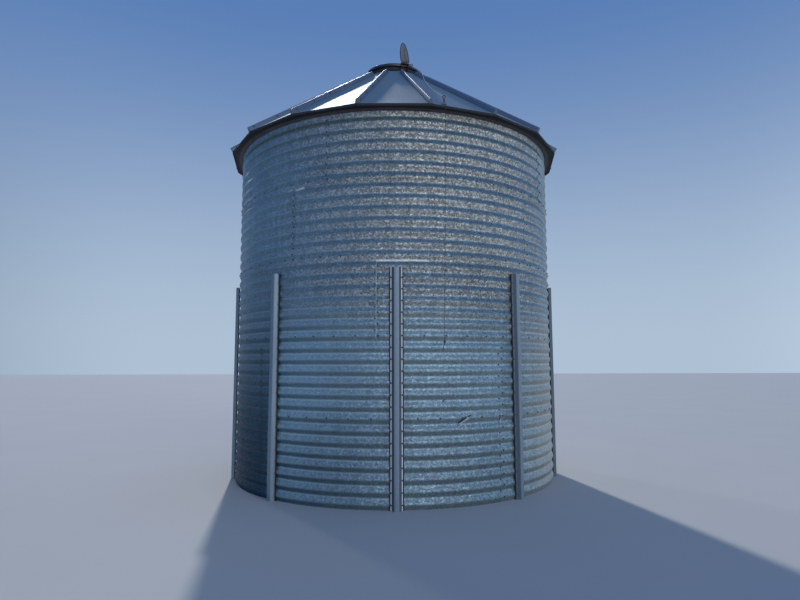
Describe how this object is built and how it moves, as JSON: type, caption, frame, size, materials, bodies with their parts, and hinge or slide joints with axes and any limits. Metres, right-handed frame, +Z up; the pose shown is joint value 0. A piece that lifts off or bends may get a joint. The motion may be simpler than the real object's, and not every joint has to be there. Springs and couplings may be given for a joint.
{
  "type": "corrugated steel grain silo",
  "caption": "Round grain silo of corrugated galvanised sheet with hat-section stiffeners, a ribbed cone roof, a hinged peak lid with a lever, and a pull rope.",
  "frame": {"origin": "centre of the floor's underside", "axes": "+Z up along the silo's axis, -Y towards the side where the pull rope hangs"},
  "size_m": [4.6282, 4.563, 5.9885],
  "materials": {
    "spangled_steel": "weathered spangled galvanised sheet, dull, with grey streaks and faint rust at the seams",
    "floor_steel": "dusty galvanised floor sheet",
    "stiffener_steel": "smooth dull galvanised channel, darker than the wall",
    "roof_steel": "smooth galvanised roof sheet that mirrors the sky softly",
    "eave_steel": "stained galvanised flashing, brown-grey",
    "peak_steel": "stained galvanised collar with rust at its rim",
    "rusty_steel": "rusted mild steel",
    "rope_fibre": "weathered twisted rope"
  },
  "bodies": {
    "root": {"eave_skirt_1": "eave_steel", "eave_skirt_2": "eave_steel", "eave_skirt_3": "eave_steel", "floor_sheet": "floor_steel", "hinge_bracket": "rusty_steel", "hinge_pin": "rusty_steel", "peak_collar": "peak_steel", "pull_rope": "rope_fibre", "roof_panels_1": "roof_steel", "roof_panels_2": "roof_steel", "roof_panels_3": "roof_steel", "roof_panels_4": "roof_steel", "roof_panels_5": "roof_steel", "roof_panels_6": "roof_steel", "rope_guide": "rusty_steel", "rope_knot": "rope_fibre", "stiffener_1": "stiffener_steel", "stiffener_2": "stiffener_steel", "stiffener_3": "stiffener_steel", "stiffener_4": "stiffener_steel", "stiffener_5": "stiffener_steel", "stiffener_6": "stiffener_steel", "stiffener_7": "stiffener_steel", "stiffener_8": "stiffener_steel", "stiffener_9": "stiffener_steel", "wall_tier_1_sheets_1": "spangled_steel", "wall_tier_1_sheets_2": "spangled_steel", "wall_tier_1_sheets_3": "spangled_steel", "wall_tier_2_sheets_1": "spangled_steel", "wall_tier_2_sheets_2": "spangled_steel", "wall_tier_2_sheets_3": "spangled_steel", "wall_tier_3_sheets_1": "spangled_steel", "wall_tier_3_sheets_2": "spangled_steel", "wall_tier_3_sheets_3": "spangled_steel", "wall_tier_4_sheets_1": "spangled_steel", "wall_tier_4_sheets_2": "spangled_steel", "wall_tier_4_sheets_3": "spangled_steel", "wall_tier_5_sheets_1": "spangled_steel", "wall_tier_5_sheets_2": "spangled_steel", "wall_tier_5_sheets_3": "spangled_steel"},
    "lid": {"lid": "peak_steel", "lid_lever": "peak_steel"}
  },
  "joints": [
    {"name": "lid_hinge", "type": "hinge", "parent": "root", "child": "lid", "pos_m": [0.15562, -0.42756, 5.725], "axis": [0.9397, 0.342, 0], "range_deg": [0, 80]}
  ]
}
